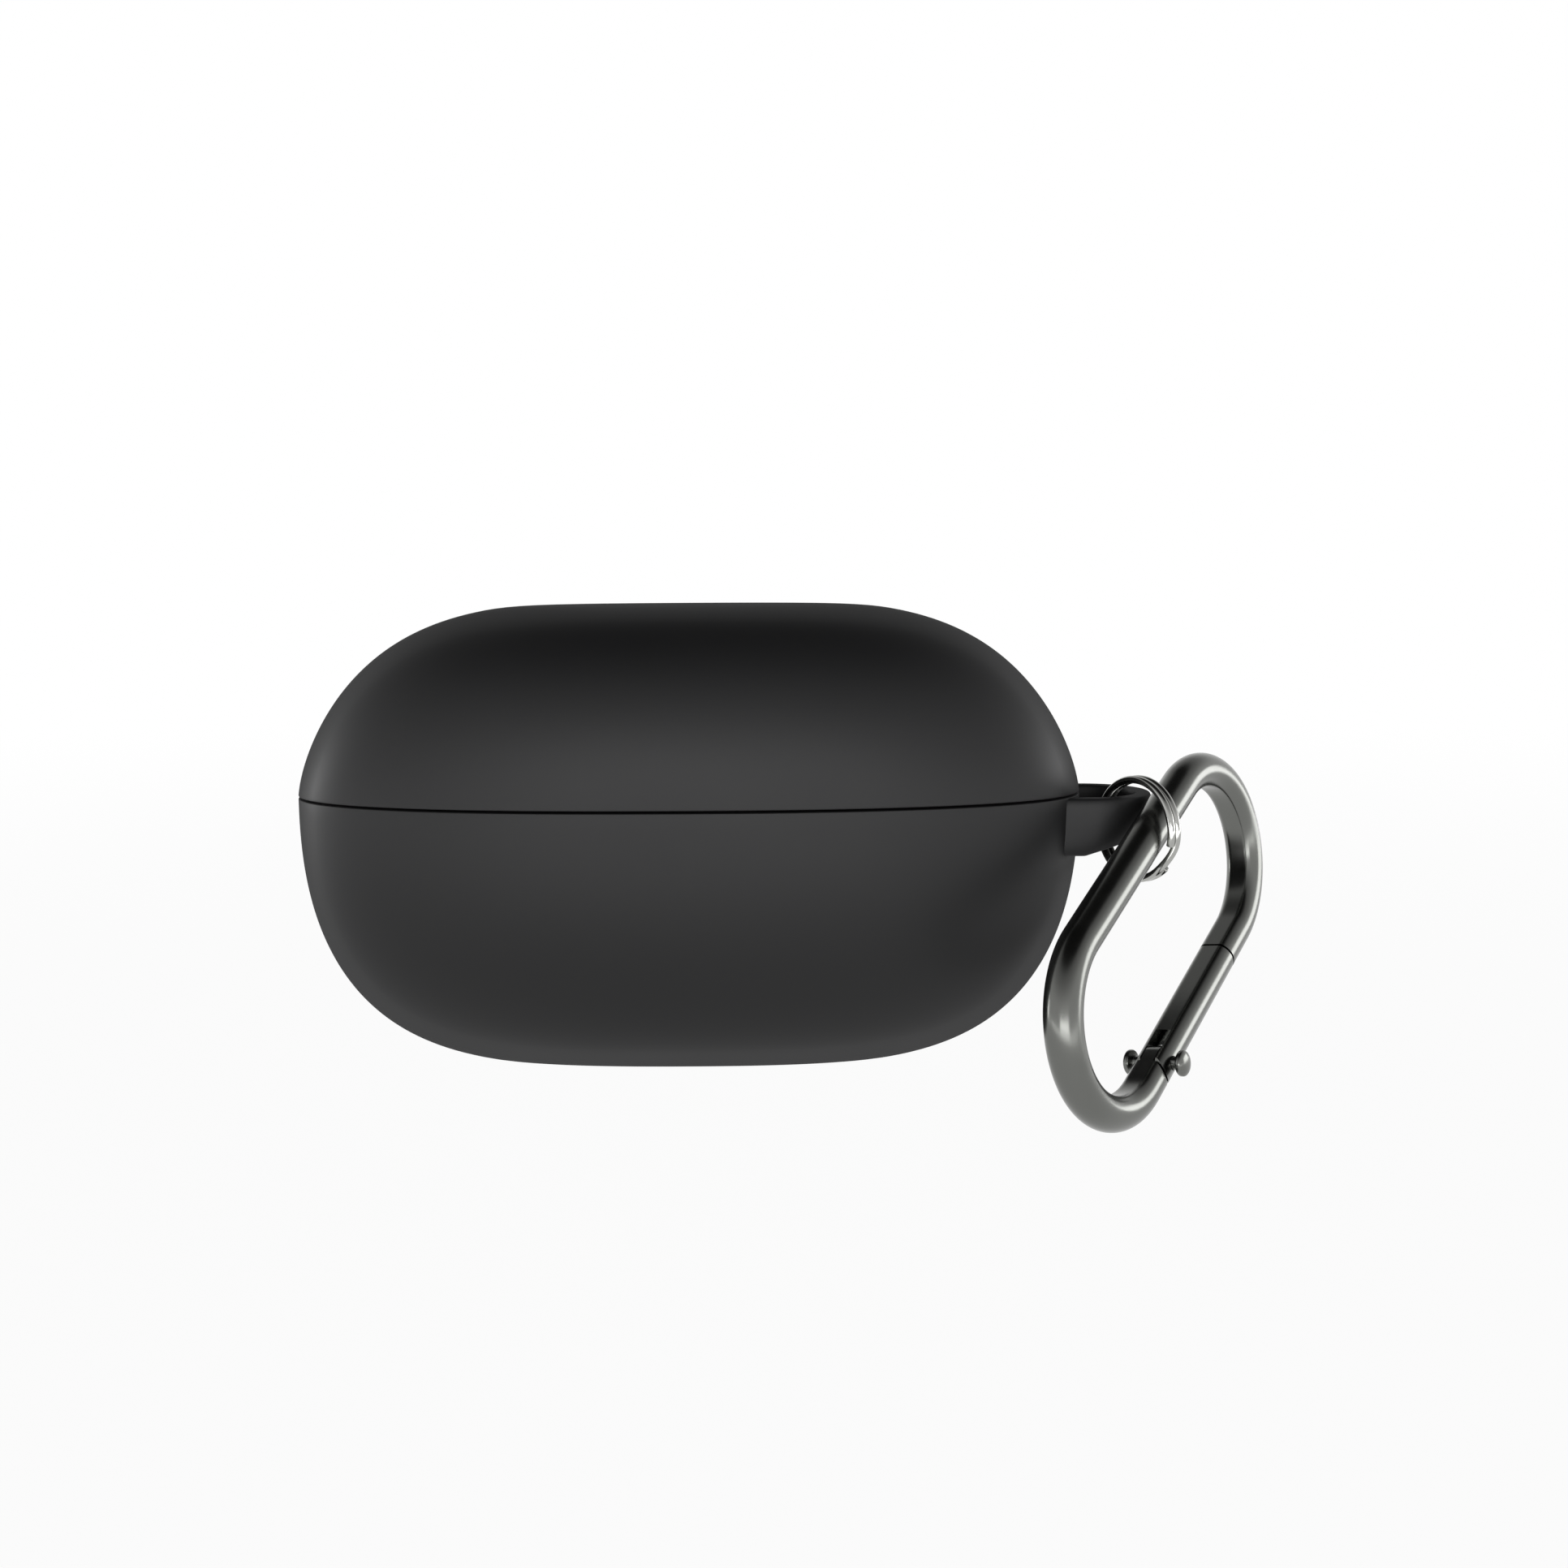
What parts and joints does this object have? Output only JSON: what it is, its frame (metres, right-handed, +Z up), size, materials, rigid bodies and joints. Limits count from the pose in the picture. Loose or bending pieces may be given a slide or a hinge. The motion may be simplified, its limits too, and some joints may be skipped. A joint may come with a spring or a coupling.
{
  "type": "wireless earbuds case",
  "caption": "Oval earbuds charging case in a black silicone cover with a strap loop, split ring and snap carabiner; the lid opens on a rear hinge over two seated earbuds.",
  "frame": {"origin": "centre of the flat underside that the cover stands on", "axes": "+X towards the strap loop and carabiner, +Y towards the hinge at the rear, +Z up through the lid"},
  "size_m": [0.0909, 0.0399, 0.0449],
  "materials": {
    "cover_silicone": "matt black moulded silicone",
    "case_plastic": "moulded ABS, fine satin",
    "hinge_steel": "stamped stainless steel",
    "magnet_nickel": "nickel-plated magnet",
    "battery_foil": "laminate pouch",
    "board_green": "glass-epoxy board with solder resist",
    "screw_steel": "zinc-plated steel",
    "socket_steel": "drawn stainless steel",
    "tongue_plastic": "moulded nylon",
    "contact_gold": "gold-plated brass",
    "bud_plastic": "satin moulded plastic",
    "cap_gloss": "gloss touch cap",
    "tip_silicone": "soft silicone",
    "mesh_steel": "etched steel mesh",
    "driver_metal": "dynamic driver can",
    "cell_steel": "coin cell can",
    "ring_steel": "nickel-plated spring steel wire",
    "carabiner_metal": "black nickel plating on zinc alloy, polished",
    "spring_steel": "spring steel"
  },
  "bodies": {
    "base": {"cover_base": "cover_silicone", "case_base_shell": "case_plastic", "cradle": "case_plastic", "hinge_base_leaf": "hinge_steel", "hinge_pin": "hinge_steel", "base_magnet_left": "magnet_nickel", "base_magnet_right": "magnet_nickel", "battery": "battery_foil", "main_board": "board_green", "board_screw_left": "screw_steel", "board_screw_right": "screw_steel", "usb_socket": "socket_steel", "usb_tongue": "tongue_plastic", "pogo_left_front": "contact_gold", "pogo_left_rear": "contact_gold", "pogo_right_front": "contact_gold", "pogo_right_rear": "contact_gold", "left_bud_shell": "bud_plastic", "left_bud_cap": "cap_gloss", "left_bud_tip": "tip_silicone", "left_bud_mesh": "mesh_steel", "left_bud_driver": "driver_metal", "left_bud_cell": "cell_steel", "left_bud_contact_front": "contact_gold", "left_bud_contact_rear": "contact_gold", "right_bud_shell": "bud_plastic", "right_bud_cap": "cap_gloss", "right_bud_tip": "tip_silicone", "right_bud_mesh": "mesh_steel", "right_bud_driver": "driver_metal", "right_bud_cell": "cell_steel", "right_bud_contact_front": "contact_gold", "right_bud_contact_rear": "contact_gold"},
    "lid": {"cover_lid": "cover_silicone", "case_lid_shell": "case_plastic", "lid_liner": "case_plastic", "hinge_lid_leaf": "hinge_steel", "lid_magnet_left": "magnet_nickel", "lid_magnet_right": "magnet_nickel"},
    "ring": {"split_ring": "ring_steel"},
    "carabiner": {"carabiner_body": "carabiner_metal", "gate_rivet": "carabiner_metal"},
    "gate": {"carabiner_gate": "carabiner_metal", "gate_plunger": "spring_steel", "gate_spring": "spring_steel"}
  },
  "joints": [
    {"name": "lid_hinge", "type": "hinge", "parent": "base", "child": "lid", "pos_m": [0, 0.013, 0.0252], "axis": [-1, 0, 0], "range_deg": [0, 95]},
    {"name": "ring_swing", "type": "hinge", "parent": "base", "child": "ring", "pos_m": [0.03956, -0.00441, 0.02315], "axis": [0.848, 0.5299, 0], "range_deg": [-6, 28]},
    {"name": "carabiner_turn", "type": "hinge", "parent": "ring", "child": "carabiner", "pos_m": [0.03942, -0.01074, 0.02027], "axis": [-0.4819, -0.7428, -0.4649], "range_deg": [-12, 90]},
    {"name": "gate_snap", "type": "hinge", "parent": "carabiner", "child": "gate", "pos_m": [0.04172, -0.01162, 0.0021], "axis": [0.7931, -0.5953, 0.1291], "range_deg": [0, 25], "stiffness_Nm_per_rad": 0.004, "springref_deg": -8.59}
  ]
}
